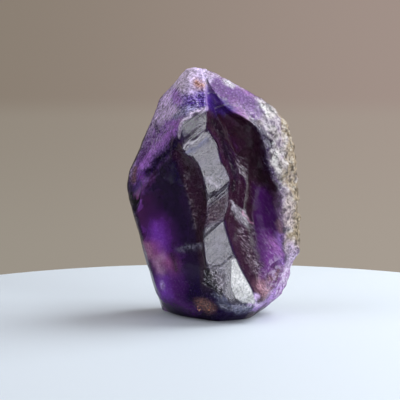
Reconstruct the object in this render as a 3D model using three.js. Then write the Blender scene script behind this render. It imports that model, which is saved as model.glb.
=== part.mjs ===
// A rough amethyst crystal, standing on the flat of its broken base.
// Millimetres, +Z up, the front at -Y, the origin under the middle of the outline.
//
// The stone is one solid. Its shape is given the way a hull is, by the ridge lines that run
// from the base to the tip. Each level of the stone joins them in turn, and the panel between
// two ridges is flat, swollen (conchoidal bulge) or hollow (conchoidal scoop), and may be lumpy.

import * as THREE from 'three';
import { ImprovedNoise } from 'three/addons/math/ImprovedNoise.js';

// Driving dimensions
const HEIGHT = 59;              // base to tip
const TIP = { x: -4.4, y: 0.6 };
const LEVELS = 60;              // rings of points between the base and the tip
const LEVEL_CROWDING = 0.9;     // below 1 crowds the rings towards the tip, where the stone narrows fast
const LUMP_SIZE = 4.6;          // how far apart the lumps of the rind and of the broken back are
const STEPS = {                 // growth steps across the bright face
  edges: [[20.8, 0.6], [26.4, 0.2], [28.1, 0.5], [41.2, 0.25], [43.6, 0.4], [46.4, 0.15]],  // [height, depth]
  slant: 0.76,                  // how far a step climbs for each millimetre to the right
  datum: -2.5,                  // the x at which those heights are taken
};
const BASE_FADE = 5;            // lumps and steps grow from nothing over this height above the base
const TIP_FADE = 14;            // and fade again over this much below the tip

// Each ridge is a list of [height, x, y] from the base up, and every ridge ends in the tip.
// They go round the stone from its left edge, across the front, to the back.
// `round` from 0 to 1 says how far the line is a smooth curve and not straight runs, and
// `lift` by how much the levels stand higher there than round the rest of the stone.
// The rest describes the panel from this ridge to the next: `cells` across it, `swell`, a list
// of [height, millimetres] by which its middle stands out of the chord, or in if below 0,
// `lumps`, the height of its lumps, and `stepped`, how many of its points carry the growth steps.
const RIDGES = [
  {
    name: 'left edge', round: 0.3, cells: 3, lumps: 0.35,
    line: [[0, -12.2, 8], [3.5, -13.3, 7], [10.7, -15.4, 5.8], [16.7, -17.1, 5.2], [22.6, -18.7, 4.8],
      [26.8, -19.9, 4.6], [30.4, -20.4, 4.4], [34, -19.7, 4.2], [42.3, -16.1, 3.8], [47.7, -13.6, 3.2],
      [51, -12.5, 2.4], [53.6, -9.8, 1.6], [56.8, -7.3, 1.2], [58, -6.3, 1]],
    swell: [[0, 0.2], [30, 0.5], [HEIGHT, 0]],
  },
  {
    name: 'edge of the frosted band', round: 0.5, cells: 8, lumps: 0,
    line: [[0, -10.9, 5.2], [2.4, -11.8, 2], [4.8, -12.6, -0.6], [8, -13.6, -2.2], [11.4, -14.6, -2.2],
      [17.5, -16.2, -0.8], [24.2, -17.7, 1.4], [28.2, -17.2, 1.8], [31.2, -15.9, 0.2], [34.4, -13.4, -3.6],
      [38, -10.2, -8.2], [45.8, -9, -8.6], [51, -8.2, -5.8], [55, -6.6, -2.6], [58, -5.4, -0.6]],
    swell: [[0, 1.2], [8, 1], [20, 0.7], [32, 0.3], [38, 0.05], [HEIGHT, 0]],
  },
  {
    name: 'thin ridge', round: 0.6, cells: 5, lumps: 0.1,
    line: [[0, -2.4, -5.2], [3, -2.5, -9.6], [6, -2.7, -12.2], [12.4, -3.3, -13.6], [17.9, -3.9, -13],
      [22.3, -4.4, -12.2], [28, -5.6, -11], [31.7, -6.8, -10.4], [34.5, -8, -10.2], [38, -9.5, -10],
      [45.8, -8.5, -9.6], [51, -7.9, -6.2], [55, -6.4, -2.9], [58, -5.1, -0.9]],
    swell: [[0, 0.4], [12, -0.1], [20, -0.3], [30, -0.5], [37, -0.4], [42, 0], [HEIGHT, 0]],
  },
  {
    name: 'left edge of the bright face', round: 0.25, lift: -2, cells: 5, lumps: 0, stepped: 5,
    line: [[0, 1.2, -7.6], [4.4, 4.4, -13.6], [7.4, 1.8, -14.5], [10.8, -0.9, -15.2], [14.6, -1.9, -15.1],
      [18.1, -2.4, -14.7], [21.4, -2.6, -14.3], [24.6, -1.8, -13.4], [29, -1.7, -12.7], [33.4, -2.6, -12.4],
      [36.3, -3.6, -12.4], [38.1, -4.8, -12.7], [38.9, -6.4, -13.3], [40.5, -7.4, -13.5], [42, -6.9, -13],
      [44.6, -7.7, -12.9], [46.4, -7.1, -12.6], [47.4, -6.8, -11.6], [51, -5.9, -7.6], [55, -5.4, -3.6],
      [58, -4.7, -1.1]],
    swell: [[0, 0.2], [10, 0], [30, 0.1], [HEIGHT, 0]],
  },
  {
    name: 'right edge of the bright face', round: 0.3, lift: 2, cells: 4, lumps: 0.1, stepped: 1,
    line: [[0, 6.6, -5.4], [4.3, 9.9, -11.1], [8.4, 8.5, -11.1], [12.1, 6.5, -11.5], [15.4, 4.9, -11.7],
      [18.6, 3.7, -11.8], [21.5, 2.7, -11.8], [24.3, 2.2, -11.5], [27.6, 3.1, -10.6], [30.4, 3.4, -10],
      [33.7, 3.3, -9.5], [36.5, 1.7, -9.8], [39, 1, -9.8], [41, 0.6, -9.6], [43, -0.8, -10],
      [45, -1.9, -10.4], [46.6, -1.5, -10.2], [48.8, -2, -9.7], [49.8, -2, -8.6], [53, -2, -4.8],
      [56.9, -2.7, -1.8], [58.2, -3.5, -0.9]],
    swell: [[0, 0.1], [10, -0.2], [25, -0.3], [40, -0.4], [50, -0.1], [HEIGHT, 0]],
  },
  {
    name: 'foot of the step', round: 0.5, cells: 4, lumps: 0.25,
    line: [[0, 8, -4], [4.5, 11.4, -8], [8.4, 10.6, -8.2], [11.7, 9.6, -8.4], [16.3, 7.7, -8.5],
      [20.5, 6.2, -8.4], [24.4, 5.3, -8.2], [28.4, 5.7, -7.4], [32, 6.3, -6.6], [36.2, 5, -6],
      [39.4, 3.5, -5.6], [42, 2.1, -5.4], [47, 0, -5.4], [53, -1.4, -3.8], [56.6, -2.3, -1.3]],
    swell: [[0, 0.2], [10, -0.4], [22, -0.7], [34, -0.9], [44, -0.4], [HEIGHT, 0]],
  },
  {
    name: 'ledge in the hollow', round: 0.5, cells: 5, lumps: 0.35,
    line: [[0, 9.2, -0.6], [4, 12.2, -3.6], [7, 12.8, -5], [12.8, 11.6, -6.2], [18.6, 10, -6.3],
      [24.3, 8.7, -5.9], [28.5, 9.2, -5.2], [31.5, 9.6, -4.6], [35, 8.2, -4.2], [40, 5.8, -4],
      [44, 3.8, -4], [48, 1.4, -4.6], [53, -0.9, -3.2], [56.2, -2, -1]],
    swell: [[0, 0.2], [8, -0.4], [20, -1.1], [34, -1.5], [42, -1.2], [48, -0.3], [HEIGHT, 0]],
  },
  {
    name: 'inner edge of the rind', round: 0.3, cells: 5, lumps: 0.9,
    line: [[0, 9.9, 1.6], [3, 13, -0.4], [8, 15.4, -2.6], [15.9, 16.8, -4.2], [22, 16, -5.4],
      [26.3, 15.4, -6], [30.2, 14.9, -6.2], [32.5, 13.3, -6.6], [36, 12.4, -6.8], [40.3, 11.4, -6.6],
      [45, 9.6, -5.8], [47.2, 6, -5.9], [49, 2.7, -5.8], [53.5, -0.5, -3.6], [56, -1.8, -0.9]],
    swell: [[0, 0.6], [10, 1], [30, 1.3], [44, 1], [50, 0.5], [HEIGHT, 0]],
  },
  {
    name: 'right edge', round: 0.3, cells: 5, lumps: 1,
    line: [[0, 9.4, 5.6], [1.6, 12.6, 4.8], [4.6, 15.9, 4.2], [9.2, 17.9, 3.8], [13.8, 19.2, 3.6],
      [16.8, 20.5, 3.4], [21, 20.1, 3.2], [26.6, 20.1, 3], [32.9, 19.7, 3], [37.1, 19.5, 3],
      [42.1, 18.5, 3.2], [45.7, 16.9, 3], [49.2, 13.6, 2.8], [51.2, 10.4, 2.5], [53.1, 7.2, 2.4],
      [54.5, 4.6, 2.2], [55.8, 2.4, 1.9], [57.2, -0.7, 1.6], [58.3, -2.9, 1.2]],
    swell: [[0, 0.3], [20, 0.9], [42, 0.7], [HEIGHT, 0]],
  },
  {
    name: 'back right ridge', round: 0.2, cells: 7, lumps: 0.55,
    line: [[0, 6.4, 11], [5, 11.2, 12.6], [13, 14.9, 12.9], [22, 14.4, 12.6], [31, 14.7, 11.2],
      [39, 12.4, 10.4], [46, 8.8, 8], [52, 3.2, 5.6], [57, -2.4, 2.6]],
    swell: [[0, 0.3], [8, -0.6], [17, -1.9], [26, -0.7], [33, 0.3], [42, -0.5], [HEIGHT, 0]],
  },
  {
    name: 'back ridge', round: 0.2, cells: 7, lumps: 0.3,
    line: [[0, -2.4, 12.6], [7, -0.6, 14.6], [17, 1.4, 15.2], [26, 0.2, 15], [36, 1.6, 12.8],
      [45, -2.2, 9.9], [52, -4, 5.8], [57, -4.6, 2.4]],
    swell: [[0, 0.2], [10, -0.9], [20, -1.7], [29, -0.4], [36, -1.3], [46, -0.2], [HEIGHT, 0]],
  },
  {
    name: 'back left ridge', round: 0.2, cells: 5, lumps: 0.45,
    line: [[0, -10.2, 11.2], [8, -12.4, 11.6], [18, -14.8, 10.6], [27, -15.2, 9.8], [36, -14.6, 8],
      [44, -11.6, 6.9], [50, -10, 4.8], [55, -7.4, 2.4]],
    swell: [[0, 0.2], [14, -0.5], [26, 0.5], [38, -0.3], [HEIGHT, 0]],
  },
];

const noise = new ImprovedNoise();

// The two points of a list either side of a height, and how far up it is between them.
function spanAt(list, height) {
  let i = 0;
  while (i < list.length - 2 && height > list[i + 1][0]) i++;
  const [low, high] = [list[i], list[i + 1]];
  return { i, share: (height - low[0]) / (high[0] - low[0]) };
}

// A column of a list at a height: straight runs, eased towards a Catmull-Rom curve by `round`.
function valueAt(list, column, height, round = 0) {
  const { i, share } = spanAt(list, height);
  const at = (k) => list[THREE.MathUtils.clamp(k, 0, list.length - 1)];
  const slope = (k) => (at(k + 1)[column] - at(k - 1)[column]) / (at(k + 1)[0] - at(k - 1)[0]);
  const run = at(i + 1)[0] - at(i)[0];
  const [a, b] = [at(i)[column], at(i + 1)[column]];
  const straight = THREE.MathUtils.lerp(a, b, share);
  const [s2, s3] = [share ** 2, share ** 3];
  const curved = (2 * s3 - 3 * s2 + 1) * a + (s3 - 2 * s2 + share) * run * slope(i)
    + (3 * s2 - 2 * s3) * b + (s3 - s2) * run * slope(i + 1);
  return THREE.MathUtils.lerp(straight, curved, round);
}

// 0 at the base and at the tip, and 1 over most of the height between them.
function awayFromEnds(height) {
  return Math.min(1, height / BASE_FADE, ((HEIGHT - height) / TIP_FADE) ** 1.5);
}

// Where a ridge meets a level.
function ridgeAt({ line, round, lift = 0 }, level) {
  const height = level + lift * awayFromEnds(level);
  const whole = [...line, [HEIGHT, TIP.x, TIP.y]];
  return new THREE.Vector3(valueAt(whole, 1, height, round), valueAt(whole, 2, height, round), height);
}

// How far the growth steps bring a point of the bright face forward: a jump at each step, which
// the face above it takes back by the next one.
function stepAt({ x, z }) {
  const height = z - STEPS.slant * (x - STEPS.datum);
  const k = STEPS.edges.findLastIndex(([edge]) => edge <= height);
  if (k < 0) return 0;
  const [edge, depth] = STEPS.edges[k];
  const [above] = STEPS.edges[k + 1] ?? [HEIGHT];
  return depth * Math.max(0, 1 - (height - edge) / (above - edge)) * awayFromEnds(z);
}

// How far the lumps bring a point out.
function lumpAt({ x, y, z }) {
  const [u, v, w] = [x, y, z].map((t) => t / LUMP_SIZE);
  const broad = noise.noise(u, v, w + 7.3);
  const fine = noise.noise(2.3 * u + 4.1, 2.3 * v, 2.3 * w);
  return (broad + 0.5 * fine) * awayFromEnds(z);
}

// The points of one level, round the stone from the left edge, counter-clockwise seen from above.
function levelPoints(level) {
  const corners = RIDGES.map((ridge) => ridgeAt(ridge, level));
  return RIDGES.flatMap(({ cells, swell, lumps, stepped = 0 }, i) => {
    const [from, to] = [corners[i], corners[(i + 1) % RIDGES.length]];
    const outward = new THREE.Vector3(to.y - from.y, from.x - to.x, 0).normalize();
    const rise = valueAt(swell, 1, level);
    return Array.from({ length: cells }, (_, k) => {
      const point = from.clone().lerp(to, k / cells);
      const bow = Math.sin(Math.PI * k / cells);
      const lump = 1.6 * lumps * lumpAt(point) * (0.35 + 0.65 * bow);
      const step = k < stepped ? stepAt(point) : 0;
      return point.addScaledVector(outward, rise * bow + lump + step);
    });
  });
}

// The closed skin: the flat base, the rings of panels, and the fan that closes on the tip.
function stoneGeometry() {
  const positions = [];
  const faces = [];
  const levels = Array.from({ length: LEVELS }, (_, k) => HEIGHT * (k / LEVELS) ** LEVEL_CROWDING);
  const rings = levels.map((level) => levelPoints(level).map(({ x, y, z }) => {
    positions.push(x, y, z);
    return positions.length / 3 - 1;
  }));
  const count = rings[0].length;
  const next = (k) => (k + 1) % count;
  for (let level = 0; level < LEVELS - 1; level++) {
    const [low, high] = [rings[level], rings[level + 1]];
    for (let k = 0; k < count; k++) {
      faces.push(low[k], low[next(k)], high[next(k)], low[k], high[next(k)], high[k]);
    }
  }
  const outline = rings[0].map((k) => new THREE.Vector2(positions[3 * k], positions[3 * k + 1]));
  for (const [a, b, c] of THREE.ShapeUtils.triangulateShape(outline, [])) faces.push(c, b, a);
  positions.push(TIP.x, TIP.y, HEIGHT);
  const tip = positions.length / 3 - 1;
  const last = rings[LEVELS - 1];
  for (let k = 0; k < count; k++) faces.push(last[k], last[next(k)], tip);

  const geometry = new THREE.BufferGeometry();
  geometry.setAttribute('position', new THREE.Float32BufferAttribute(positions, 3));
  geometry.setIndex(faces);
  geometry.computeBoundingBox();
  const middle = geometry.boundingBox.getCenter(new THREE.Vector3());
  geometry.translate(-middle.x, -middle.y, 0);
  geometry.computeVertexNormals();
  return geometry;
}

const amethyst = new THREE.MeshStandardMaterial({
  name: 'amethyst', color: 0x4b2a78, roughness: 0.15, metalness: 0, flatShading: true,
});

const crystal = new THREE.Mesh(stoneGeometry(), amethyst);
crystal.name = 'amethyst_crystal';

const stone = new THREE.Group();
stone.add(crystal);

export default stone;
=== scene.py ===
import math
import bmesh
import bpy
import numpy as np
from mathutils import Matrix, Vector, noise


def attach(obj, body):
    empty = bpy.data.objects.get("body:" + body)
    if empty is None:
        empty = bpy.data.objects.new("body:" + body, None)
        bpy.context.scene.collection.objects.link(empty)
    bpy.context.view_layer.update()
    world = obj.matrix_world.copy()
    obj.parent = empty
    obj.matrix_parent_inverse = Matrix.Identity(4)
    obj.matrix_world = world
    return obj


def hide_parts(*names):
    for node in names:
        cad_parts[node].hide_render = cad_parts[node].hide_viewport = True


# A rough amethyst crystal standing on a pale round plate. Metres, +Z up, the front at -Y.
# Places on the stone are written in millimetres: (x, z) on its front, (height, x) along a ridge.

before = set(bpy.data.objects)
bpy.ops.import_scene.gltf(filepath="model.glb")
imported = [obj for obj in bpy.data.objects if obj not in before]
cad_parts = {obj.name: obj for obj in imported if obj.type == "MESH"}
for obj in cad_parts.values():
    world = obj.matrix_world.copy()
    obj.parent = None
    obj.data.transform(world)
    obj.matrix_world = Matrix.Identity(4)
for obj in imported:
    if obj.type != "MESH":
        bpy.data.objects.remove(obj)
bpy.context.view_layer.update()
mm = 0.001


class Value:
    def __init__(self, board, socket):
        self.board = board
        self.socket = socket

    def __add__(self, other):
        return self.board.math("ADD", self, other)

    def __sub__(self, other):
        return self.board.math("SUBTRACT", self, other)

    def __rsub__(self, other):
        return self.board.math("SUBTRACT", other, self)

    def __mul__(self, other):
        return self.board.math("MULTIPLY", self, other)

    __radd__ = __add__


class Board:
    def __init__(self, tree):
        self.tree = tree

    def add(self, kind, settings=None, inputs=None, out=0):
        node = self.tree.nodes.new(kind)
        for name, setting in (settings or {}).items():
            setattr(node, name, setting)
        for key, value in (inputs or {}).items():
            if isinstance(value, Value):
                self.tree.links.new(value.socket, node.inputs[key])
            else:
                node.inputs[key].default_value = value
        return Value(self, node.outputs[out]) if node.outputs else None

    def math(self, operation, a, b=0.0, clamp=False):
        return self.add("ShaderNodeMath", {"operation": operation, "use_clamp": clamp}, {0: a, 1: b})

    def ease(self, value, low, high):  # 0 below low, 1 above high, smooth between
        return self.add("ShaderNodeMapRange", {"interpolation_type": "SMOOTHSTEP"},
                        {"Value": value, "From Min": low, "From Max": high})

    def blend(self, share, a, b):  # colours
        a, b = ((*c, 1) if isinstance(c, tuple) else c for c in (a, b))
        return self.add("ShaderNodeMix", {"data_type": "RGBA"}, {0: share, 6: a, 7: b}, out=2)

    def vector(self, operation, a, b):
        return self.add("ShaderNodeVectorMath", {"operation": operation}, {0: a, 1: b})

    def scaled(self, vector, scale):
        return self.add("ShaderNodeVectorMath", {"operation": "SCALE"}, {0: vector, "Scale": scale})

    def part(self, vector, axis):
        return self.add("ShaderNodeSeparateXYZ", {}, {0: vector}, out=axis)

    def stored(self, name, kind="FLOAT"):  # a number stored at each point of a mesh
        return self.add("GeometryNodeInputNamedAttribute", {"data_type": kind}, {"Name": name})

    def spots(self, at, scale, detail=3.0, roughness=0.55):  # 0 to 1, `scale` of them to a millimetre
        return self.add("ShaderNodeTexNoise", {},
                        {"Vector": at, "Scale": scale, "Detail": detail, "Roughness": roughness})

    def slanted(self, place, degrees, squeeze):  # a place turned about Y, then squeezed along each axis
        turned = self.add("ShaderNodeVectorRotate", {"rotation_type": "Y_AXIS"},
                          {"Vector": place, "Angle": math.radians(degrees)})
        return self.vector("MULTIPLY", turned, squeeze)


stage = {
    "plateRadius": 0.096,
    "plateMiddle": -0.0083,
    "plateDrop": 0.003,
    "plateColour": (0.66, 0.71, 0.77),
    "plateRoughness": 0.6,
    "wallHighLeft": (0.254, 0.212, 0.171),
    "wallHighRight": (0.361, 0.283, 0.250),
    "wallLowLeft": (0.322, 0.288, 0.242),
    "wallLowRight": (0.385, 0.335, 0.286),
    "room": (0.16, 0.155, 0.16),  # out of sight, to the sides and behind the camera
    "wallAcross": (-0.17, 0.17),  # from here on, shares of the line of sight to the right, down and ahead
    "wallEdge": (0.03, 0.048),
    "wallFade": (0.03, 0.14),
    "wallAhead": (0.35, 0.8),
}


def makePlate():
    radius, drop = stage["plateRadius"], stage["plateDrop"]
    shape = bmesh.new()
    turns = 192
    rings = [(radius - drop, 0), (radius - 0.6 * drop, -0.08 * drop), (radius - 0.25 * drop, -0.35 * drop),
             (radius, -drop), (radius, -3 * drop)]
    loops = [[shape.verts.new((r * math.cos(t), stage["plateMiddle"] + r * math.sin(t), z))
              for t in (2 * math.pi * k / turns for k in range(turns))] for r, z in rings]
    shape.faces.new(loops[0])
    for upper, lower in zip(loops, loops[1:]):
        for k in range(turns):
            shape.faces.new((lower[k], lower[(k + 1) % turns], upper[(k + 1) % turns], upper[k]))
    mesh = bpy.data.meshes.new("plate")
    shape.to_mesh(mesh)
    shape.free()
    plate = bpy.data.objects.new("plate", mesh)
    bpy.context.scene.collection.objects.link(plate)
    for face in mesh.polygons:
        face.use_smooth = len(face.vertices) == 4
    material = bpy.data.materials.new("plate")
    material.use_nodes = True
    shader = material.node_tree.nodes["Principled BSDF"]
    shader.inputs["Base Color"].default_value = (*stage["plateColour"], 1)
    shader.inputs["Roughness"].default_value = stage["plateRoughness"]
    mesh.materials.append(material)


def makeWall():
    world = bpy.data.worlds.new("wall")
    world.use_nodes = True
    bpy.context.scene.world = world
    board = Board(world.node_tree)
    world.node_tree.nodes.clear()
    direction = board.add("ShaderNodeTexCoord", out="Generated")
    across = board.ease(board.part(direction, "X"), *stage["wallAcross"])
    down = 0 - board.part(direction, "Z")
    low = board.ease(down, *stage["wallEdge"]) * 0.5 + board.ease(down, *stage["wallFade"]) * 0.5
    high = board.blend(across, stage["wallHighLeft"], stage["wallHighRight"])
    wall = board.blend(low, high, board.blend(across, stage["wallLowLeft"], stage["wallLowRight"]))
    ahead = board.ease(board.part(direction, "Y"), *stage["wallAhead"])
    wall = board.blend(ahead, stage["room"], wall)
    light = board.add("ShaderNodeBackground", {}, {"Color": wall, "Strength": 1.0})
    board.add("ShaderNodeOutputWorld", {}, {"Surface": light})


lights = {  # place, what it faces, width and height, watts, colour
    "key": ((0.25, 0.07, 0.29), (0.0, 0.0, 0.0), (0.34, 0.34), 2.05, (0.92, 0.97, 1.0)),
    "window": ((0.326, -0.267, 0.13), (0.0, -0.012, 0.028), (0.20, 0.26), 1.05, (0.93, 0.96, 1.0)),
    "fill": ((-0.27, -0.12, 0.34), (0.0, 0.0, 0.03), (0.30, 0.30), 0.6, (0.95, 0.97, 1.0)),
}


def makeLights():
    for name, (place, target, size, watts, colour) in lights.items():
        lamp = bpy.data.lights.new(name, "AREA")
        lamp.shape = "RECTANGLE"
        lamp.size, lamp.size_y = size
        lamp.energy = watts
        lamp.color = colour
        box = bpy.data.objects.new(name, lamp)
        box.location = place
        box.rotation_euler = (Vector(target) - Vector(place)).to_track_quat("-Z", "Y").to_euler()
        box.visible_camera = False
        bpy.context.scene.collection.objects.link(box)


camera = {"place": (-0.0032, -0.350, 0.0626), "tilt": 84.24, "lens": 135.6}


def makeCamera():
    lens = bpy.data.cameras.new("camera")
    lens.lens = camera["lens"]
    eye = bpy.data.objects.new("camera", lens)
    eye.location = camera["place"]
    eye.rotation_euler = (math.radians(camera["tilt"]), 0, 0)
    bpy.context.scene.collection.objects.link(eye)
    bpy.context.scene.camera = eye


makePlate()
makeWall()
makeLights()
makeCamera()
bpy.context.scene.view_settings.view_transform = "Standard"
print("stage ready")

ridges = {  # (height, x) up the front
    "bandEdge": [(0, -10.9), (11.4, -14.6), (24.2, -17.7), (28.2, -17.2), (31.2, -15.9), (34.4, -13.4),
                 (38, -10.2), (45.8, -9), (59, -4.4)],
    "thinRidge": [(0, -2.4), (12.4, -3.3), (22.3, -4.4), (28, -5.6), (31.7, -6.8), (38, -9.5), (46, -8.5),
                  (59, -4.4)],
    "brightLeft": [(0, 1.2), (4.4, 4.4), (7.4, 1.8), (10.8, -0.9), (14.6, -1.9), (21.4, -2.6), (24.6, -1.8),
                   (29, -1.7), (33.4, -2.6), (36.3, -3.6), (38.1, -4.8), (38.9, -6.4), (40.5, -7.4),
                   (42, -6.9), (44.6, -7.7), (46.5, -7), (51, -5.9), (59, -4.4)],
    "brightRight": [(0, 6.6), (4.3, 9.9), (8.4, 8.5), (12.1, 6.5), (15.4, 4.9), (21.5, 2.7), (24.3, 2.2),
                    (27.6, 3.1), (33.7, 3.3), (36.5, 1.7), (41, 0.6), (45, -1.9), (49, -2), (53, -2),
                    (56.9, -2.6), (59, -4.4)],
    "rindInner": [(0, 9.9), (3, 13), (8, 15.4), (15.9, 16.8), (22, 16), (26.3, 15.4), (30.2, 14.9),
                  (32.5, 14.0), (40.3, 12.5), (45, 10.5), (47.2, 6.6), (49, 2.7), (53.5, -0.5), (59, -4.4)],
}

tones = {  # linear red, green and blue
    "deep": (0.024, 0.007, 0.055),
    "wine": (0.036, 0.008, 0.024),
    "plum": (0.085, 0.014, 0.13),
    "indigo": (0.060, 0.020, 0.22),
    "violet": (0.20, 0.048, 0.46),
    "dusk": (0.22, 0.10, 0.37),
    "lavender": (0.50, 0.32, 0.70),
    "orchid": (0.42, 0.20, 0.66),
    "frosted": (0.46, 0.36, 0.57),
    "mauve": (0.27, 0.11, 0.33),
    "magenta": (0.42, 0.14, 0.50),
    "pink": (0.62, 0.26, 0.42),
    "rust": (0.42, 0.19, 0.14),
    "slate": (0.13, 0.13, 0.21),
    "ledgeBlue": (0.105, 0.12, 0.27),
    "iris": (0.17, 0.075, 0.42),
    "milk": (0.74, 0.60, 0.82),
    "heather": (0.27, 0.15, 0.30),
    "hoar": (0.66, 0.52, 0.73),
    "sleet": (0.28, 0.25, 0.46),
    "pearl": (0.58, 0.47, 0.46),
    "chalk": (0.66, 0.65, 0.64),
    "blush": (0.80, 0.42, 0.72),
    "damson": (0.11, 0.04, 0.18),
    "haze": (0.13, 0.022, 0.23),
    "pewter": (0.13, 0.11, 0.14),
    "glow": (0.30, 0.072, 0.68),
    "lilac": (0.68, 0.50, 0.84),
    "satin": (0.38, 0.16, 0.56),
    "petal": (0.23, 0.115, 0.33),
    "ink": (0.010, 0.002, 0.034),
    "port": (0.048, 0.007, 0.078),
    "grape": (0.155, 0.03, 0.225),
    "rosy": (0.42, 0.12, 0.33),
    "rosewood": (0.52, 0.26, 0.33),
    "silver": (0.60, 0.55, 0.62),
    "cream": (0.78, 0.76, 0.73),
    "ash": (0.41, 0.36, 0.37),
    "tan": (0.33, 0.26, 0.18),
    "black": (0.008, 0.005, 0.010),
}

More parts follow.
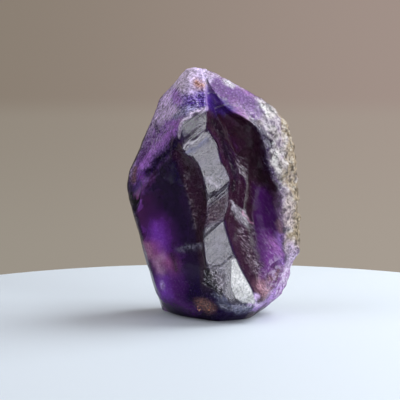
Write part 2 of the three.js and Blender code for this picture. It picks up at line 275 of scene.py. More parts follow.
# What is painted on the front: a tone, how far it covers the glass, how grainy it is, half its
# width and how soft its border is in millimetres, and its line (x, z). A width of 0 or less fills the line.
strokes = {
    "pale tip": ("milk", 0.9, 0.6, 1.4, 3.0, [(-5.0, 57.6), (-7.4, 55.2), (-8.2, 52.6)]),
    "shaded tip": ("heather", 0.8, 0.8, 0.8, 2.0, [(-1.0, 56.8), (2.0, 55.6)]),
    "pale ledge": ("milk", 0.7, 0.9, 0.5, 1.8, [(-8.0, 47.9), (-6.4, 48.5)]),
    "violet wash": ("iris", 0.9, 0.8, 1.6, 2.6, [(-8.6, 51.0), (-5.0, 50.4), (-2.8, 51.4)]),
    "lavender band": ("satin", 0.9, 0.12, 0.9, 1.6,
                      [(-8.3, 46.2), (-10.2, 43.8), (-12.6, 41.0), (-15.0, 38.0), (-17.0, 35.2)]),
    "band light": ("lavender", 0.6, 0.3, 0.15, 0.9, [(-9.6, 45.0), (-12.6, 41.6), (-15.0, 38.8)]),
    "pale outer edge": ("lilac", 0.8, 0.9, 0.35, 1.2,
                        [(-12.5, 50.5), (-14, 45.2), (-18, 38.9), (-20, 33)]),
    "groove": ("damson", 0.92, 0.4, 0.3, 0.7, [(-13.1, 43.6), (-15.9, 39.1), (-17.8, 34.9), (-18.6, 31)]),
    "inner groove": ("deep", 0.6, 0.4, 0.1, 0.6, [(-9.2, 47.6), (-11.4, 46.4), (-12.8, 44.4)]),
    "band shade": ("ink", 0.95, 0.2, 1.0, 1.4,
                   [(-7.2, 43.2), (-9.8, 39.8), (-12.6, 37.2), (-15.4, 33.6)]),
    "smooth patch": ("lilac", 0.9, 0.5, 1.2, 1.6, [(-9.9, 48.6), (-12.3, 46.4)]),
    "upper patch": ("lilac", 0.9, 0.7, 1.2, 1.8, [(-10.4, 51.7), (-11.4, 50.4)]),
    "dark lens": ("deep", 0.9, 0.2, 0.3, 0.6, [(-13.4, 45.6), (-13.0, 43.4)]),
    "purple dip": ("orchid", 0.85, 0.6, 0.9, 1.4, [(-8.5, 51.9), (-8.3, 50.6)]),
    "sugar": ("indigo", 0.85, 1.0, 1.1, 2.0, [(-3.0, 51.8), (-2.6, 50.0), (-5.0, 50.2), (-6.6, 48.8)]),
    "grey sugar": ("sleet", 0.85, 1.0, 0.7, 1.4, [(-8.8, 47.2), (-6.4, 48.4), (-4.6, 49.0)]),
    "curved line": ("orchid", 0.35, 0.2, 0.04, 0.4,
                    [(-12.5, 33.9), (-15.5, 31.4), (-17.4, 27.9), (-17.8, 24.6)]),
    # painted shade on the left shoulder
    "shaded shoulder": ("ink", 0.96, 0.1, 1.0, 1.8, [(-9.0, 36.8), (-8.5, 33.0)]),
    "band foot": ("violet", 0.35, 0.2, 0.8, 2.6, [(-16.6, 32.6), (-17.8, 29.4)]),
    "orange left": ("rust", 0.4, 0.4, 0.3, 1.8, [(-18.6, 34.4), (-18.9, 31.6)]),
    "red spot": ("rust", 0.8, 1.0, 0.7, 1.8, [(-4.1, 54.7), (-2.7, 54.0)]),
    "tip crust": ("ash", 0.8, 1.0, 0.2, 1.2, [(-1.6, 57.8), (0, 57.1), (4, 55.2), (7, 53.6)]),
    "ridge line": ("lavender", 0.45, 0.3, 0.2, 0.35, [(-1.4, 54.0), (-2, 48.7)]),
    "window": ("indigo", 0.75, 0.1, 0, 1.8,
               [(-1.6, 48.9), (-1.3, 53.6), (3.2, 51.3), (5.4, 48.2), (1, 46.8)]),
    "window core": ("iris", 0.6, 0.2, 0.3, 1.6, [(-0.4, 51.4), (1.6, 50.2)]),
    "rim band": ("damson", 0.95, 0.5, 1.5, 1.8, [(0.6, 54.0), (4.6, 52.4), (8.8, 49.9), (10.2, 48.0)]),
    "rim light": ("petal", 0.85, 0.6, 0.5, 1.0, [(5.4, 50.0), (8.0, 48.4), (10.2, 46.4)]),
    "rim white": ("silver", 0.5, 0.9, 0.3, 0.8, [(2.6, 54.9), (4.4, 53.9)]),
    "window crack": ("silver", 0.5, 0.5, 0.05, 0.3, [(0.2, 48.9), (3.4, 49.7), (5.6, 49.4)]),
    "upper crack": ("silver", 0.45, 0.5, 0.04, 0.3, [(-1.1, 52.3), (0.8, 52.2), (3.4, 50.9)]),
    "brown depth": ("wine", 0.8, 0.1, 1.2, 2.4, [(3.2, 45.5), (4, 42.2)]),
    "hollow left": ("black", 0.85, 0.2, 0.6, 1.8,
                    [(-0.4, 46.0), (2.0, 42.4), (2.9, 38.6), (4.4, 34.4), (4.0, 30.6)]),
    # painted shade along a crease of the hollow
    "shaded crease": ("wine", 0.97, 0.1, 0.5, 0.8, [(1.0, 47.2), (3.3, 41.8), (4.8, 39.2)]),
    "first ripple": ("wine", 0.9, 0.9, -0.1, 0.8,
                     [(5.4, 37.0), (7.0, 36.6), (8.0, 34.4), (7.3, 32.2), (5.9, 34.3)]),
    "dark trough": ("wine", 0.95, 0.2, 0.7, 1.2, [(8.4, 31.4), (8.6, 27.0), (9.6, 23.2)]),
    "second ripple": ("pewter", 0.85, 0.9, 0, 0.7,
                      [(3.4, 28.1), (5.0, 27.0), (7.8, 23.4), (8.2, 21.2), (6.2, 22.6), (4.2, 24.6)]),
    "orange streak": ("pink", 0.8, 0.8, 0.1, 0.35, [(6.2, 25.0), (7.7, 23.7), (9.1, 22.3)]),
    "below the ripple": ("wine", 0.92, 0.5, 0.6, 2.0, [(4.8, 21.4), (7.6, 16.6), (10.6, 11.4)]),
    "tan foot": ("rosewood", 0.6, 0.9, 0.6, 3.8, [(10.4, 9.0), (12.2, 6.4)]),
    "right violet": ("port", 0.97, 0.1, -0.2, 2.4,
                     [(8.8, 31.4), (12.4, 31.2), (13.8, 27.4), (15.4, 25.6), (15.4, 21.4), (13.4, 13.4),
                      (10.4, 13.6), (9.0, 21)]),
    # painted glow of light shining through the lower right
    "low right violet": ("grape", 0.95, 0.45, 1.2, 3.6, [(12.2, 19.0), (13.4, 15.6), (12.4, 11.4)]),
    "heather seam": ("heather", 0.9, 0.9, 0.5, 2.6, [(14.8, 29.6), (15.4, 25.2), (15.6, 21.4)]),
    "lilac seam": ("orchid", 0.8, 0.6, 0.7, 2.0, [(15.4, 19.2), (15.2, 15.8), (15.6, 12.2)]),
    "magenta patch": ("magenta", 0.75, 0.6, 0.5, 2.2, [(13.4, 18.2), (15.4, 15.3)]),
    "whitish edge": ("hoar", 0.9, 1.0, 0.9, 2.6,
                     [(17.8, 16.8), (18.2, 15.6), (17.8, 11.8), (16.4, 8.0), (14.6, 5.4)]),
    "orange specks": ("rosewood", 0.6, 1.0, 0.2, 2.8, [(15.8, 11.8), (13.8, 9.4), (12.0, 7.6)]),
    "orange tint": ("rosewood", 0.5, 0.8, 0.2, 1.8, [(14.9, 22.6), (15.4, 20.2)]),
    "pink foot": ("orchid", 0.75, 0.8, 0.8, 2.0, [(9.8, 2.8), (12.8, 3.8), (15.4, 6.8)]),
    "wine foot": ("haze", 0.75, 0.1, 1.0, 4.4, [(-10.6, 4.4), (-5.0, 2.8)]),
    # painted light: from the violet body to the left highlight, these strokes paint the glow and highlights
    # of light shining through the thin lower left
    "violet body": ("haze", 0.88, 0.1, 2.6, 6.4, [(-12.6, 21.6), (-10.8, 15.0), (-10.2, 6.8)]),
    "violet glow": ("glow", 0.8, 0.15, 0.8, 6.0, [(-13.2, 20.8), (-12.4, 17.4)]),
    "pink glow": ("rosy", 0.85, 0.15, 1.3, 5.0, [(-14.2, 16.2), (-12.2, 13.4), (-10.2, 13.4)]),
    "warm left": ("pink", 0.6, 0.5, 0.3, 1.8, [(-15.4, 16.9), (-14.4, 14.2)]),
    "pink light": ("blush", 0.6, 0.25, 0.4, 2.8, [(-11.9, 14.8), (-13.0, 13.2), (-12.2, 11.2)]),
    "violet foot": ("glow", 0.85, 0.2, 0.8, 3.8, [(-12.0, 8.9), (-11.2, 5.2)]),
    "left highlight": ("lilac", 0.85, 0.6, 0.2, 1.6, [(-12.0, 8.9), (-11.7, 6.8)]),
    "red brown": ("wine", 0.7, 0.2, 0.4, 2.4, [(-9.2, 15.4), (-8.7, 12.6)]),
    "faint wisps": ("slate", 0.45, 0.8, 0.3, 1.6, [(-7.8, 17.0), (-4.8, 17.7), (-3.2, 18.5)]),
    "foot rust": ("rust", 0.36, 0.7, 0.9, 3.4, [(-2.6, 4.6), (-1.3, 3.6)]),
    "chipped foot": ("slate", 0.85, 1.0, -0.5, 2.0,
                     [(0.2, 5.5), (2.2, 6.0), (6.0, 4.9), (10.2, 5.1), (9.0, 2.2), (5.2, 1.6), (3.4, 3.2),
                      (1.2, 3.4)]),
    "foot top": ("slate", 0.85, 1.0, 0.6, 1.6, [(0.4, 7.2), (2.0, 6.2)]),
    "pale foot": ("lilac", 0.8, 0.8, 0.5, 1.4, [(9.4, 6.2), (8.6, 4.4), (10.6, 3.9)]),
    "scratched patch": ("black", 0.95, 0.5, 0, 0.7,
                        [(-2.4, 13.5), (0.8, 13.2), (2.1, 11.4), (2.2, 8.4), (1.5, 6.2), (-0.6, 8.4),
                         (-2.3, 10.0)]),
    "cream facet": ("chalk", 0.8, 0.45, 0, 0.25,
                    [(3.9, 15.2), (3.7, 9), (4.6, 6.6), (6.5, 5.0), (9.5, 4.6), (8.3, 8.4), (6.3, 12.1),
                     (5.0, 15.0)]),
    "crack": ("black", 0.95, 0, 0.22, 0.2,
              [(-1.8, 14.3), (-0.3, 13.6), (1.5, 13.9), (2.7, 14.8), (3.9, 15.8), (5.2, 15.5)]),
    "frosted ledge": ("milk", 0.9, 0.9, 0.3, 0.9,
                      [(-7.8, 42.8), (-7.7, 45.8), (-5.0, 47.6), (-2.3, 49.0)]),
    "lower line": ("black", 0.4, 0, 0.1, 0.2, [(-2.7, 20.6), (2.3, 24.8)]),
    # painted highlights: silver reflections on the ledge and the middle of the bright face
    "ledge highlight": ("silver", 0.5, 0.1, 0.2, 0.3, [(-6.8, 40.3), (-2.2, 43.8)]),
    "middle highlight": ("silver", 0.7, 0.2, 0.5, 2.0, [(-1.4, 33.0), (1.0, 31.6)]),
    "dark panel": ("wine", 0.85, 0.4, 0, 2.2, [(-2.4, 22.4), (3.0, 24.6), (3.3, 30.4), (-1.7, 27.2)]),
    "lower face": ("pewter", 0.9, 0.3, 0.5, 1.6, [(1.0, 11.2), (1.6, 9.0)]),
    "blue ledge": ("ledgeBlue", 0.75, 0.1, 0.35, 1.6, [(-6.0, 39.2), (-3.4, 40.9), (-1.7, 42.0)]),
    "rind white": ("cream", 0.95, 0.6, 0.3, 1.2, [(10.6, 50.2), (12.2, 47.8), (12.0, 44.6)]),
    "pale rind": ("pearl", 1.0, 0.8, 0.8, 2.4, [(17.2, 27.0), (17.6, 22.0)]),
    # painted highlights: bright loops on glossy lumps of the crust
    "crust highlight curls": ("cream", 0.85, 0.6, 0.2, 0.8, [(14.0, 38.6), (13.7, 36.4), (15.2, 34.6)]),
    "dark inner rind": ("deep", 0.94, 0.9, 0.7, 1.8,
                        [(9.2, 46.0), (11.0, 42.6), (12.0, 39.6), (12.2, 36.0), (14.9, 31.8),
                         (15.5, 30.4)]),
}

rippleHighlights = [  # painted highlights: bright lines across the ripples of the hollow (x, z)
    [(3.5, 28.1), (4.8, 26.5), (6.1, 24.4), (7.7, 22.6)],
    [(4.1, 26.9), (5.3, 24.6)],
    [(4.9, 25.2), (6.1, 23.0)],
    [(6.6, 25.2), (8.0, 22.8)],
    [(5.7, 35.0), (7.4, 32.6)],
]

scratches = {  # thin bright threads: how strong, half width (0 or less fills), softness, line (x, z)
    "ridge chips": (0.35, 0.6, 1.4, [(-6.3, 34.1), (-5.7, 28.5), (-4.5, 25.1), (-4.3, 22.2)]),
    # the two ripple entries paint highlights on the ripples of the hollow
    "first ripple": (0.9, 0, 0.8,
                     [(5.6, 38.0), (7.8, 37.0), (8.2, 34.0), (7.4, 32.2), (5.6, 34.3), (4.8, 36.2)]),
    "second ripple": (0.8, 0.2, 0.8,
                      [(3.4, 28.1), (5.0, 27.0), (8.2, 23.1), (9.1, 20.7), (7.8, 18.9), (5.5, 23.1),
                       (3.6, 25.3)]),
    "below the ripple": (0.6, 0.9, 2.4, [(6.0, 20.8), (8.2, 15.8), (10.8, 10.7)]),
    "violet scratches": (0.15, 1.2, 3.0, [(10.8, 20.5), (13.4, 14.5)]),
    "scratched patch": (0.65, 0, 0.6,
                        [(-2.4, 13.5), (0.8, 13.2), (2.1, 11.4), (2.2, 8.4), (1.5, 6.2), (-0.6, 8.4),
                         (-2.3, 10.0)]),
    "wisps": (0.5, 0.6, 2.0, [(-7.8, 17.0), (-4.8, 17.9), (-3.4, 18.5)]),
    "window streaks": (0.08, 0.6, 1.2, [(-0.4, 50.8), (4.0, 50.6), (8.0, 48.4)]),
    "upper left streaks": (0.5, 1.6, 3.0, [(-8.0, 50.0), (-12.0, 46.0), (-14.6, 40.0)]),
    # painted highlight: a thin bright line along the left edge
    "left rim": (0.6, 0.2, 1.0, [(-20.2, 30.0), (-19.4, 25.0), (-16.6, 15.0), (-13.6, 5.0)]),
    "foot": (0.6, 0.6, 1.4, [(2.0, 4.4), (9.6, 4.2)]),
}

rippleHighlightLook = {"halfWidth": 0.18, "softness": 0.36, "strength": 0.4}
crispBelow = 0.25  # strokes with a border this sharp keep their place, the others wander a little
unpolished = {"scratched patch": 1.0, "dark panel": 0.5}  # how much of the bright face's shine they take

fades = {  # each painted zone comes in from its first height to its second, in millimetres
    "bright face": (4.2, 5.4),
    "upper left": (25, 34),
    "beside the top": (41, 43.5),
    "rim": (42, 46),
    "foot": (19, 12),
    "summit": (52, 55),
    "rind foot": (13, 19),
    "rind top": (53, 49),
    "facet foot": (6, 12),
    "facet top": (43, 41),
    "left face": (40, 37),
    "left rim": (27, 23),
    "low shade": (17, 8),
    "rind foot behind": (8, 16),
    "rind top behind": (52, 47),
    "frost behind": (41, 48),
    "clouded foot behind": (11, -1),
}
topLine = {"x": -7.4, "height": 47.6, "slope": 0.38}  # where the bright face stops under the frosted tip

edges = {  # angles in degrees, lengths in millimetres
    "weld": 0.004,
    "creased": 16,  # flatter edges are rounded off
    "sharp": 36,  # steeper ones stay quite sharp
    "roundAbove": 57,  # and no edge is creased above this height
}


def cutMesh():
    node = bpy.data.objects["amethyst_crystal"]
    shape = bmesh.new()
    shape.from_mesh(node.data)
    bmesh.ops.remove_doubles(shape, verts=shape.verts, dist=edges["weld"] * mm)
    anyAngle = 3.1  # in radians, so that any two triangles may be joined
    bmesh.ops.join_triangles(
        shape, faces=shape.faces, angle_face_threshold=anyAngle, angle_shape_threshold=anyAngle)
    crease = shape.edges.layers.float.new("crease_edge")
    for edge in shape.edges:
        angle = edge.calc_face_angle(0)
        middle = (edge.verts[0].co.z + edge.verts[1].co.z) / 2
        if angle > math.radians(edges["creased"]) and middle <= edges["roundAbove"] * mm:
            edge[crease] = min(1, angle / math.radians(edges["sharp"]))
    mesh = bpy.data.meshes.new("stone")
    shape.to_mesh(mesh)
    shape.free()
    stone = bpy.data.objects.new("stone", mesh)
    bpy.context.scene.collection.objects.link(stone)
    return stone


tipShape = {"level": 57.6, "squash": 0.5}  # the point is worn down above this level, in millimetres


def wearTip(stone):
    level = tipShape["level"] * mm
    for corner in stone.data.vertices:
        if corner.co.z > level:
            corner.co.z = level + (corner.co.z - level) * tipShape["squash"]


def asPlainMesh(piece, name):
    graph = bpy.context.evaluated_depsgraph_get()
    mesh = bpy.data.meshes.new_from_object(
        piece.evaluated_get(graph), preserve_all_data_layers=True, depsgraph=graph)
    mesh.name = name
    piece.modifiers.clear()
    old = piece.data
    piece.data = mesh
    bpy.data.meshes.remove(old)


def ease(value, low, high):
    share = np.clip((value - low) / (high - low), 0, 1)
    return share * share * (3 - 2 * share)


noise.seed_set(5)  # unseeded, wander would differ from run to run


def wander(places, scale, seed):  # smooth noise, about -0.5 to 0.5 in three directions
    return np.array([noise.noise_vector(Vector(place) * scale + Vector((seed, 0, 0))) for place in places])


def reach(points, filled, x, z):  # how far each place lies from a line, below 0 inside a filled one
    ends = points + points[:1] if filled else points
    nearest = np.full(len(x), np.inf)
    inside = np.zeros(len(x), bool)
    for (ax, az), (bx, bz) in zip(ends, ends[1:]):
        dx, dz = bx - ax, bz - az
        share = np.clip(((x - ax) * dx + (z - az) * dz) / (dx * dx + dz * dz), 0, 1)
        nearest = np.minimum(nearest, np.hypot(x - ax - share * dx, z - az - share * dz))
        if filled and dz:
            inside ^= ((az > z) != (bz > z)) & (x < ax + (z - az) * dx / dz)
    return np.where(inside, -nearest, nearest)


def strokeOver(points, width, soft, x, z):  # 1 on a stroke, 0 away from it
    away = reach(points, width <= 0, x, z)
    return 1 - ease(away, width - soft / 2, width + soft / 2)


def paintStone(stone):
    mesh = stone.data
    count = len(mesh.vertices)
    place = np.empty(count * 3)
    facing = np.empty(count * 3)
    mesh.vertices.foreach_get("co", place)
    mesh.vertex_normals.foreach_get("vector", facing)
    place = place.reshape(-1, 3) / mm
    facing = facing.reshape(-1, 3)
    x, y, z = place.T
    broad, small = wander(place, 0.22, 3.0), wander(place, 0.7, 9.0)
    front = ease(-facing[:, 1], -0.25, 0.15) * ease(-y, -6, -2)
    line = {name: np.interp(z, *zip(*points)) for name, points in ridges.items()}

    across = (x - line["brightLeft"]) / (line["brightRight"] - line["brightLeft"])
    topEdge = topLine["height"] + topLine["slope"] * (x - topLine["x"]) + 0.5 * small[:, 0]
    bright = ease(across, -0.02, 0.04) * ease(1 - across, -0.02, 0.04) * ease(topEdge - z, -0.3, 0.3)
    bright *= ease(z, *fades["bright face"]) * front

    drift = 2.2 * broad[:, 0] + 1.2 * small[:, 1]
    upperLeft = ease(line["bandEdge"] - x + 0.8 * drift, -0.5, 1.1) * ease(z + drift, *fades["upper left"])
    besideTop = ease(line["brightLeft"] - x, -0.2, 0.3) * ease(z + 0.4 * drift, *fades["beside the top"])
    upperLeft = np.maximum(upperLeft, besideTop) * front
    tip = ease(z - topEdge, -0.2, 0.5) * ease(line["brightRight"] - x, -0.3, 0.3) * front
    rim = ease(x - line["rindInner"] + 0.6 * drift, -0.4, 0.6) * ease(z + drift, *fades["rim"]) * front
    foot = ease(x - line["rindInner"] + drift, -1.2, 1.8) * ease(z, *fades["foot"]) * front
    summit = ease(z + drift, *fades["summit"])

    rightSide = ease(x - line["rindInner"] + 0.8 * drift, -0.8, 1.0)
    rind = rightSide * ease(x + drift, 7.5, 10.5) * ease(y - 2 * drift, 14, 7)
    rind *= ease(z + 1.5 * drift, *fades["rind foot"]) * ease(z, *fades["rind top"])

    hollow = ease(x - line["brightRight"], 0, 0.4) * front
    hollow *= ease(line["rindInner"] - x + 0.4 * drift, -0.3, 0.5)
    facet = ease(x - line["thinRidge"], -0.2, 0.3) * ease(line["brightLeft"] - x, -0.3, 0.2) * front
    facet *= ease(z, *fades["facet foot"]) * ease(z, *fades["facet top"])
    leftFace = ease(x - line["bandEdge"], -0.3, 0.3) * ease(line["thinRidge"] - x, -0.2, 0.3) * front
    leftFace *= ease(z, *fades["left face"])
    # painted shade along the left rim
    leftRimShade = ease(line["bandEdge"] - x, -0.3, 0.3) * ease(z, *fades["left rim"]) * front
    # painted shade: the front turns near black towards the foot
    lowShade = ease(z, *fades["low shade"]) * front * (1 - bright)
    behind = 1 - front
    lightRind = ease(x + 1.8 * drift, 14.4, 18.8)
    rindBehind = ease(x + 2.5 * drift, 4, 9) * behind
    rindBehind *= ease(z + drift, *fades["rind foot behind"]) * ease(z - drift, *fades["rind top behind"])
    rind = np.maximum(rind, rindBehind)
    strands = wander(place * (1, 1, 0.3), 0.3, 21.0)
    bare = behind * (1 - rind)
    clouds = ease(strands[:, 1] + 0.5 * small[:, 2], -0.1, 0.4) * bare
    frostBehind = ease(z + 16 * strands[:, 2] + 5 * small[:, 0], *fades["frost behind"]) * bare
    footBehind = ease(z - 12 * strands[:, 0], *fades["clouded foot behind"]) * bare

    skin = np.tile(np.array(tones["deep"]), (count, 1))
    cover = np.zeros(count)
    grain = np.zeros(count)

    def lay(tone, opacity, grainy, amount):
        nonlocal skin, cover, grain
        skin = skin + (np.array(tones[tone]) - skin) * amount[:, None]
        cover = cover + (opacity - cover) * amount
        grain = grain + (grainy - grain) * amount

    for tone, opacity, grainy, amount in (
            ("deep", 0.55, 0.05, leftFace),
            ("ink", 0.92, 0.3, leftRimShade),
            ("ink", 0.95, 0.1, lowShade * (1 - rind)),
            ("wine", 0.6, 0.25, facet),
            ("wine", 0.72, 0.2, hollow),
            ("plum", 0.6, 0.2, clouds),
            ("plum", 0.75, 0.3, footBehind),
            ("dusk", 0.85, 0.7, frostBehind),
            ("dusk", 0.85, 0.6, upperLeft),
            ("frosted", 0.9, 0.6, tip),
            ("mauve", 0.9, 0.55, rim),
            ("mauve", 0.5, 0.6, foot),
            ("frosted", 0.95, 0.7, summit),
            ("ash", 1.0, 0.8, rind),
            ("tan", 1.0, 0.8, rind * lightRind)):
        lay(tone, opacity, grainy, amount)

    wobbleX, wobbleZ = (at + 0.54 * broad[:, axis] + 0.5 * small[:, axis] for axis, at in ((0, x), (2, z)))
    for name, (tone, opacity, grainy, width, soft, points) in strokes.items():
        crisp = soft <= crispBelow
        amount = strokeOver(points, width, soft, x if crisp else wobbleX, z if crisp else wobbleZ) * front
        lay(tone, opacity, grainy, amount)
        if name in unpolished:
            bright = bright * (1 - unpolished[name] * amount)

    # painted highlights along the ripples of the hollow
    for points in rippleHighlights:
        amount = strokeOver(points, rippleHighlightLook["halfWidth"], rippleHighlightLook["softness"], wobbleX, wobbleZ)
        lay("silver", 0.9, 0.7, amount * rippleHighlightLook["strength"] * front)

    threads = np.zeros(count)
    for strength, width, soft, points in scratches.values():
        threads = np.maximum(threads, strokeOver(points, width, soft, wobbleX, wobbleZ) * strength * front)

    layers = {"threads": threads, "bright": bright, "rind": rind, "hollow": hollow, "cover": cover,
              "grain": grain, "frost": grain * cover * (1 - rind)}
    for name, amount in layers.items():
        mesh.attributes.new(name, "FLOAT", "POINT").data.foreach_set("value", np.clip(amount, 0, 1))
    colours = np.hstack([skin, np.ones((count, 1))])
    mesh.attributes.new("skin", "FLOAT_COLOR", "POINT").data.foreach_set("color", colours.ravel())


relief = {  # heights in millimetres
    "Growth lines": 0.07,
    "Rind lumps": 0.9,
    "Frost grains": 0.36,
    "Hollow scratches": 0.3,
    "Ripples": 0.14,
    "Seed": 3.0,
}
growthSlope = 0.76  # how far the growth lines climb for each millimetre to the right
slants = {  # how streaks lie: the turn about Y in degrees, then the squeeze along each axis
    "scratches": (32, (1.3, 0.5, 0.28)),
    "hatch": (40, (5.0, 1.6, 0.6)),
    "brushed": (-52.7, (4.5, 2.0, 0.6)),
    "band": (-36, (4.0, 2.0, 0.45)),
    "combed": (50, (5.0, 2.0, 0.5)),
}


def startTree(name, sizes):  # a node tree whose inputs are a mesh and one number for each size
    tree = bpy.data.node_groups.new(name, "GeometryNodeTree")
    tree.interface.new_socket("Mesh", in_out="OUTPUT", socket_type="NodeSocketGeometry")
    tree.interface.new_socket("Mesh", in_out="INPUT", socket_type="NodeSocketGeometry")
    for size, value in sizes.items():
        kind = "NodeSocketInt" if isinstance(value, int) else "NodeSocketFloat"
        tree.interface.new_socket(size, in_out="INPUT", socket_type=kind)
    board = Board(tree)
    given = tree.nodes.new("NodeGroupInput")
    return tree, board, {name: Value(board, given.outputs[name]) for name in ("Mesh", *sizes)}


def runTree(piece, tree, sizes):
    running = piece.modifiers.new("running", "NODES")
    running.node_group = tree
    for socket in tree.interface.items_tree:
        if socket.in_out == "INPUT" and socket.name in sizes:
            running[socket.identifier] = sizes[socket.name]
    asPlainMesh(piece, piece.name)


def reliefTree():
    tree, board, given = startTree("stone relief", relief)

    def bumps(at, scale, detail=3.0, roughness=0.55):  # -0.5 to 0.5, `scale` of them to a millimetre
        return board.add("ShaderNodeTexNoise", {"noise_dimensions": "4D"},
                         {"Vector": at, "W": given["Seed"], "Scale": scale, "Detail": detail,
                          "Roughness": roughness}) - 0.5

    def lines(along, detail=4.0):
        return board.add("ShaderNodeTexNoise", {"noise_dimensions": "1D"},
                         {"W": along, "Scale": 1.0, "Detail": detail, "Roughness": 0.65}) - 0.5

    place = board.scaled(board.add("GeometryNodeInputPosition"), 1 / mm)
    x, z = board.part(place, 0), board.part(place, 2)
    climb = z - x * growthSlope + bumps(place, 0.25) * 0.8
    growth = lines(climb * 0.9) * board.stored("bright") * given["Growth lines"]
    warp = board.add("ShaderNodeTexNoise", {}, {"Vector": place, "Scale": 0.8}, out=1)
    lumps = board.add("ShaderNodeTexVoronoi", {"feature": "SMOOTH_F1"},
                      {"Vector": board.vector("ADD", place, warp), "Scale": 0.5, "Smoothness": 0.35})
    rough = bumps(place, 0.9, 5.0, 0.7)
    rind = (rough * 1.5 - lumps * 0.9 + 0.45) * board.stored("rind") * given["Rind lumps"]
    sugar = board.add("ShaderNodeTexVoronoi", {"feature": "F1"}, {"Vector": place, "Scale": 1.0})
    frost = (0.5 - sugar + rough * 0.8) * board.stored("frost") * given["Frost grains"]
    scratches = bumps(board.slanted(place, *slants["scratches"]), 0.9, 5.0, 0.6)
    scratches = scratches * board.stored("hollow") * given["Hollow scratches"]
    swell = bumps(place, 0.13, 2.0)
    ripples = board.math("SINE", swell * 26.0) * 0.3 * (1.0 - board.stored("bright")) * given["Ripples"]
    total = (growth + rind + frost + scratches + ripples) * board.ease(z, 0.05, 1.4) * mm
    push = board.scaled(board.add("GeometryNodeInputNormal"), total)
    moved = board.add("GeometryNodeSetPosition", {}, {"Geometry": given["Mesh"], "Offset": push})
    smooth = board.add("GeometryNodeSetShadeSmooth", {}, {"Geometry": moved, "Shade Smooth": True})
    board.add("NodeGroupOutput", {}, {"Mesh": smooth})
    return tree


stone = cutMesh()
finer = stone.modifiers.new("finer", "SUBSURF")
finer.levels = finer.render_levels = 2
asPlainMesh(stone, "stone")
wearTip(stone)
paintStone(stone)
runTree(stone, reliefTree(), relief)
print("stone mesh", len(stone.data.polygons), "faces")

glass = {
    "dyeColour": (0.533, 0.067, 0.617), "dyeDensity": 300.0,
    "tint": (0.80, 0.62, 0.90),
    "ior": 1.55,
    "polish": 0.07,  # roughness of the clearest faces
    "bumpDepth": 0.12,  # in millimetres
}
look = {  # x and heights in millimetres, the first where a thing begins and the second where it is full
    "sugarContrast": 5.5,
    "fineContrast": 3.0,
    "cloudContrast": 1.2,
    "bandContrast": 4.5,
    "coverContrast": 2.4,
    "bandLeftOf": (-6.0, -9.0),
    "bandAbove": (25.0, 33.0),
    "lowStripes": (24.5, 27.5),
    "lowStripesStop": (30.0, 30.6),
    "highStripes": (46.0, 46.8),
    "cornerRightOf": (11.0, 14.0),
    "cornerBelow": (17.0, 11.0),
    "sparkle": (1.10, 1.22),  # from here on, levels of noise
    "threadWidth": 0.032,
    "crust": (0.35, 0.5),
    "pits": (0.575, 0.64),
    "glints": (0.58, 0.66),
}


def newMaterial(name):
    material = bpy.data.materials.new(name)
    material.use_nodes = True
    material.node_tree.nodes.clear()
    board = Board(material.node_tree)
    place = board.scaled(board.add("ShaderNodeTexCoord", out="Object"), 1 / mm)
    return material, board, place


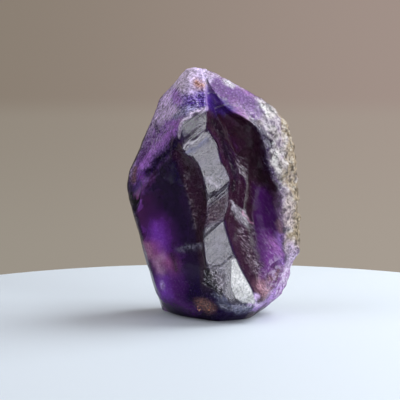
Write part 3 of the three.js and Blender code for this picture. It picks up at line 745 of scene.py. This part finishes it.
def gemMaterial():
    gem, board, place = newMaterial("amethyst")

    def layer(name, out="Fac"):
        return board.add("ShaderNodeAttribute", {"attribute_name": name}, out=out)

    x, z = board.part(place, 0), board.part(place, 2)
    cloud = board.spots(place, 0.35, 4.0)
    clumps = board.spots(place, 0.8, 5.0, 0.7)
    grain = board.spots(place, 2.0, 5.0, 0.7)
    fine = board.spots(place, 5.5, 3.0, 0.6)
    hatch = board.spots(board.slanted(place, *slants["hatch"]), 1.0, 5.0, 0.7)
    brushed = board.spots(board.slanted(place, *slants["brushed"]), 1.0, 4.0, 0.7)
    upFront = board.add("ShaderNodeCombineXYZ", {}, {2: z - x * growthSlope})
    growthLines = board.spots(upFront, 2.1, 3.0, 0.6)
    grainy, bright, rind, hollow = layer("grain"), layer("bright"), layer("rind"), layer("hollow")

    speckle = grain + (hatch - grain) * hollow  # scratches in the hollow, sugar elsewhere
    mottle = 1.0 + (speckle - 0.5) * look["sugarContrast"] * grainy
    mottle = mottle + (fine - 0.5) * look["fineContrast"] * grainy + (cloud - 0.5) * look["cloudContrast"]
    drawn = board.spots(board.slanted(place, *slants["band"]), 1.0, 4.0, 0.65)  # streaks down the left band
    drawn = (drawn - 0.5) * look["bandContrast"]
    mottle = mottle + drawn * board.ease(x, *look["bandLeftOf"]) * board.ease(z, *look["bandAbove"])
    climb = z - x * growthSlope + (cloud - 0.5) * 0.5
    striped = board.ease(climb, *look["lowStripes"]) * (1.0 - board.ease(climb, *look["lowStripesStop"]))
    striped = striped + board.ease(climb, *look["highStripes"]) * 0.6
    # painted shade: dark lines along the real growth steps of the bright face
    growthLineShade = board.ease(growthLines, 0.5, 0.56) * bright * (0.1 + striped * 0.8)
    # painted reflection: silver and slate streaks across the bright face stand in for the mirrored lamp
    streaks = board.ease(brushed + (fine - 0.5) * 0.6, 0.47, 0.62) * bright * 0.5
    skin = board.scaled(layer("skin", "Color"), board.math("MAXIMUM", mottle, 0.05))
    sparkle = board.ease(fine + speckle, *look["sparkle"]) * grainy
    skin = board.blend(sparkle * 0.8, skin, tones["cream"])
    corner = board.ease(x, *look["cornerRightOf"]) * board.ease(z, *look["cornerBelow"])
    corner = corner * board.ease(bright, 0.1, 0.0)  # the clouded foot
    mixed = board.blend(board.ease(clumps, 0.45, 0.55), tones["mauve"], tones["hoar"])
    patches = board.ease(board.spots(place, 0.55, 4.0, 0.65), 0.46, 0.54)
    skin = board.blend(corner * patches * 0.75, skin, mixed)
    cover = layer("cover") * (1.0 + (speckle - 0.5) * look["coverContrast"] * grainy)

    combed = board.spots(board.slanted(place, *slants["combed"]), 1.0, 4.0, 0.65)
    combed = board.ease(combed + (fine - 0.5) * 0.25, 0.5, 0.64)  # straight scratches down to the right
    wave, width = board.spots(place, 0.9, 2.0, 0.6), look["threadWidth"]
    curls = 1.0 - board.ease(board.math("ABSOLUTE", wave - 0.5), width * 0.3, width)  # thin curling lines
    curls = curls + (combed - curls) * hollow
    curls = board.math("MULTIPLY", curls, layer("threads"), clamp=True)
    reflectionTone = board.blend(board.ease(grain + (fine - 0.5), 0.46, 0.6), tones["slate"], tones["silver"])
    skin = board.blend(growthLineShade, board.blend(streaks, skin, reflectionTone), tones["black"])
    skin = board.blend(curls, skin, tones["silver"])
    cover = board.math("ADD", cover + streaks, growthLineShade + curls, clamp=True)

    crusted = board.ease(rind + (grain - 0.5) * 0.9 + (fine - 0.5) * 0.5, *look["crust"])
    shade = 0.35 + board.ease(clumps + (grain - 0.5) * 0.5, 0.36, 0.6) * 0.75 + (fine - 0.5) * 1.2
    crust = board.scaled(layer("skin", "Color"), board.math("MAXIMUM", shade, 0.04))
    pits = board.ease(fine * 0.7 + grain * 0.3 + (0.5 - clumps) * 0.9, *look["pits"])
    pits = pits * (0.85 - board.ease(x, 15.0, 18.0) * 0.4)
    crust = board.blend(pits, crust, tones["black"])
    glints = board.ease(fine * 0.6 + grain * 0.4 + (clumps - 0.5) * 0.8 - pits, *look["glints"])
    crust = board.blend(glints * 0.6, crust, tones["cream"])
    tinge = board.ease(board.spots(place, 0.3) + (0.5 - grain) * 0.2, 0.5, 0.6) * 0.22
    crust = board.blend(tinge * board.ease(x, 19.0, 15.0), crust, tones["petal"])
    skin = board.blend(crusted, skin, crust)
    cover = board.math("MAXIMUM", cover, crusted)

    bumpHeight = growthLines * bright * 0.4 + brushed * bright * 0.35 + hatch * hollow * 0.4
    bumpHeight = bumpHeight + grain * (0.12 + grainy * 0.9 + rind * 1.5) + fine * (grainy + rind) * 0.4
    bump = board.add("ShaderNodeBump", {},
                     {"Strength": 0.5, "Distance": glass["bumpDepth"] * mm, "Height": bumpHeight})
    gloss = board.math("MAXIMUM", crusted, board.ease(grainy, 0.4, 0.9))
    clear = board.add("ShaderNodeBsdfPrincipled", {}, {
        "Base Color": (*glass["tint"], 1),
        "Roughness": glass["polish"] + bright * 0.07 + grainy * 0.15 + (grain - 0.5) * 0.06,
        "IOR": glass["ior"], "Transmission Weight": 1.0, "Normal": bump})
    hazy = board.add("ShaderNodeBsdfPrincipled", {}, {
        "Base Color": skin, "Roughness": 0.16 + grainy * 0.3 + crusted * 0.3, "IOR": glass["ior"],
        "Specular IOR Level": 0.02, "Coat Weight": gloss * 0.5, "Coat Roughness": 0.2, "Normal": bump})
    surface = board.add("ShaderNodeMixShader", {}, {0: cover, 1: clear, 2: hazy})
    dye = board.add("ShaderNodeVolumeAbsorption", {},
                    {"Color": (*glass["dyeColour"], 1), "Density": glass["dyeDensity"]})
    board.add("ShaderNodeOutputMaterial", {}, {"Surface": surface, "Volume": dye})
    return gem


stone.data.materials.clear()
stone.data.materials.append(gemMaterial())
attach(stone, "root")
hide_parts("amethyst_crystal")
print("stone finished")


veils = {  # x, z and depth under the front, half sizes across, through and up, turn about Z in degrees
    "lower left": (-11.5, 19.5, 2.0, (2.6, 0.10, 4.6), -46),
    "left foot": (-10.5, 10.5, 2.2, (2.4, 0.10, 3.2), -40),
    "left deep": (-7.5, 15.5, 4.0, (3.2, 0.12, 5.0), -30),
    "right": (11.6, 24.0, 2.2, (3.0, 0.10, 5.4), 22),
    "right foot": (12.6, 14.0, 1.8, (2.2, 0.10, 3.4), 30),
    "window": (2.2, 50.2, 1.6, (2.6, 0.08, 1.4), 12),
    "under the band": (-13.0, 38.0, 1.8, (1.6, 0.10, 5.0), -50),
}
veilShape = {"Waviness": 1.6, "Fineness": 0.22, "Seed": 5.0}

flakes = {  # x, z and depth under the front, how far they spread, how many
    "tip": (-3.4, 54.4, 0.7, 0.9, 16),
    "foot": (-2.2, 4.4, 1.0, 1.5, 26),
    "right foot": (13.6, 10.6, 1.0, 1.3, 22),
    "hollow": (3.8, 43.6, 1.4, 1.6, 14),
    "streak": (7.2, 23.4, 0.6, 0.8, 10),
    "under the rind": (13.8, 21.0, 1.0, 1.0, 8),
    "left": (-12.6, 14.8, 1.8, 0.9, 12),
}
flakeShape = {"Size": 0.26, "Seed": 11}


def seeds(name, places, layers):  # a mesh of loose points with a layer of numbers for each
    mesh = bpy.data.meshes.new(name)
    mesh.from_pydata(places, [], [])
    for layer, (kind, numbers) in layers.items():
        attribute = mesh.attributes.new(layer, kind, "POINT")
        attribute.data.foreach_set("vector" if kind == "FLOAT_VECTOR" else "value", np.ravel(numbers))
    piece = bpy.data.objects.new(name, mesh)
    bpy.context.scene.collection.objects.link(piece)
    return piece


def underFront(x, z, depth):
    found, spot, _, _ = stone.ray_cast((x * mm, -0.05, z * mm), (0, 1, 0))
    return (x * mm, (spot.y if found else 0) + depth * mm, z * mm)


def veilTree(material):
    tree, board, given = startTree("veils", veilShape)
    disc = board.add("GeometryNodeMeshIcoSphere", {}, {"Radius": 1.0, "Subdivisions": 5})
    flat = board.vector("MULTIPLY", board.add("GeometryNodeInputPosition"), (1, 0, 1))
    inward = 1.0 - board.add("ShaderNodeVectorMath", {"operation": "LENGTH"}, {0: flat}, out=1)
    disc = board.add("GeometryNodeStoreNamedAttribute", {"data_type": "FLOAT", "domain": "POINT"},
                     {"Geometry": disc, "Name": "inward", "Value": inward})
    placed = board.add("GeometryNodeInstanceOnPoints", {}, {
        "Points": given["Mesh"], "Instance": disc, "Scale": board.stored("span", "FLOAT_VECTOR"),
        "Rotation": board.add("ShaderNodeCombineXYZ", {}, {2: board.stored("turn")})})
    sheets = board.add("GeometryNodeRealizeInstances", {}, {"Geometry": placed})
    place = board.scaled(board.add("GeometryNodeInputPosition"), 1 / mm)
    sway = board.add("ShaderNodeTexNoise", {"noise_dimensions": "4D"},
                     {"Vector": place, "W": given["Seed"], "Scale": given["Fineness"], "Detail": 2.0}, out=1)
    sway = board.scaled(board.vector("SUBTRACT", sway, (0.5, 0.5, 0.5)), given["Waviness"] * mm)
    sheets = board.add("GeometryNodeSetPosition", {}, {"Geometry": sheets, "Offset": sway})
    sheets = board.add("GeometryNodeSetShadeSmooth", {}, {"Geometry": sheets, "Shade Smooth": True})
    sheets = board.add("GeometryNodeSetMaterial", {}, {"Geometry": sheets, "Material": material})
    board.add("NodeGroupOutput", {}, {"Mesh": sheets})
    return tree


def flakeTree(material):
    tree, board, given = startTree("flakes", flakeShape)

    def chance(kind, low, high, shift):
        return board.add("FunctionNodeRandomValue", {"data_type": kind},
                         {"Min": low, "Max": high, "Seed": board.math("ADD", given["Seed"], shift)})

    points = board.add("GeometryNodeDuplicateElements", {"domain": "POINT"},
                       {"Geometry": given["Mesh"], "Amount": board.stored("count", "INT")})
    away = board.scaled(chance("FLOAT_VECTOR", (-1, -0.5, -1), (1, 0.5, 1), 0), board.stored("spread"))
    points = board.add("GeometryNodeSetPosition", {}, {"Geometry": points, "Offset": away})
    chip = board.add("GeometryNodeMeshIcoSphere", {}, {"Radius": 1.0, "Subdivisions": 1})
    size = board.scaled(chance("FLOAT_VECTOR", (0.35, 0.12, 0.35), (1.3, 0.3, 1.0), 1), given["Size"] * mm)
    placed = board.add("GeometryNodeInstanceOnPoints", {}, {
        "Points": points, "Instance": chip, "Scale": size,
        "Rotation": chance("FLOAT_VECTOR", (-0.6, -3, -0.6), (0.6, 3, 0.6), 2)})
    chips = board.add("GeometryNodeRealizeInstances", {}, {"Geometry": placed})
    chips = board.add("GeometryNodeSetMaterial", {}, {"Geometry": chips, "Material": material})
    board.add("NodeGroupOutput", {}, {"Mesh": chips})
    return tree


def veilMaterial():
    material, board, place = newMaterial("veil")
    cloud = board.spots(place, 0.7, 5.0, 0.65)
    inward = board.add("ShaderNodeAttribute", {"attribute_name": "inward"}, out="Fac")
    shown = board.ease(inward + (cloud - 0.5) * 1.6, 0.15, 0.85) * 0.6
    milk = board.blend(board.ease(cloud, 0.4, 0.6), (0.55, 0.30, 0.75), (0.90, 0.74, 0.92))
    shader = board.add("ShaderNodeBsdfPrincipled", {}, {
        "Base Color": milk, "Roughness": 0.35, "IOR": glass["ior"], "Alpha": shown})
    board.add("ShaderNodeOutputMaterial", {}, {"Surface": shader})
    return material


def rustMaterial():
    material, board, place = newMaterial("rust")
    patch = board.spots(place, 1.6, 4.0, 0.5)
    colour = board.blend(board.ease(patch, 0.4, 0.6), (0.34, 0.12, 0.07), (0.70, 0.36, 0.22))
    shader = board.add("ShaderNodeBsdfPrincipled", {}, {
        "Base Color": colour, "Roughness": 0.5 + (patch - 0.5) * 0.4})
    board.add("ShaderNodeOutputMaterial", {}, {"Surface": shader})
    return material


places = [underFront(x, z, depth) for x, z, depth, _, _ in veils.values()]
veilPiece = seeds("healedVeils", places, {
    "span": ("FLOAT_VECTOR", [[side * mm for side in span] for _, _, _, span, _ in veils.values()]),
    "turn": ("FLOAT", [math.radians(turn) for *_, turn in veils.values()])})
runTree(veilPiece, veilTree(veilMaterial()), veilShape)
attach(veilPiece, "root")

places = [underFront(x, z, depth) for x, z, depth, _, _ in flakes.values()]
rustPiece = seeds("rustFlakes", places, {
    "spread": ("FLOAT", [spread * mm for *_, spread, _ in flakes.values()]),
    "count": ("INT", [many for *_, many in flakes.values()])})
runTree(rustPiece, flakeTree(rustMaterial()), flakeShape)
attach(rustPiece, "root")
print("veils and flakes sealed in")
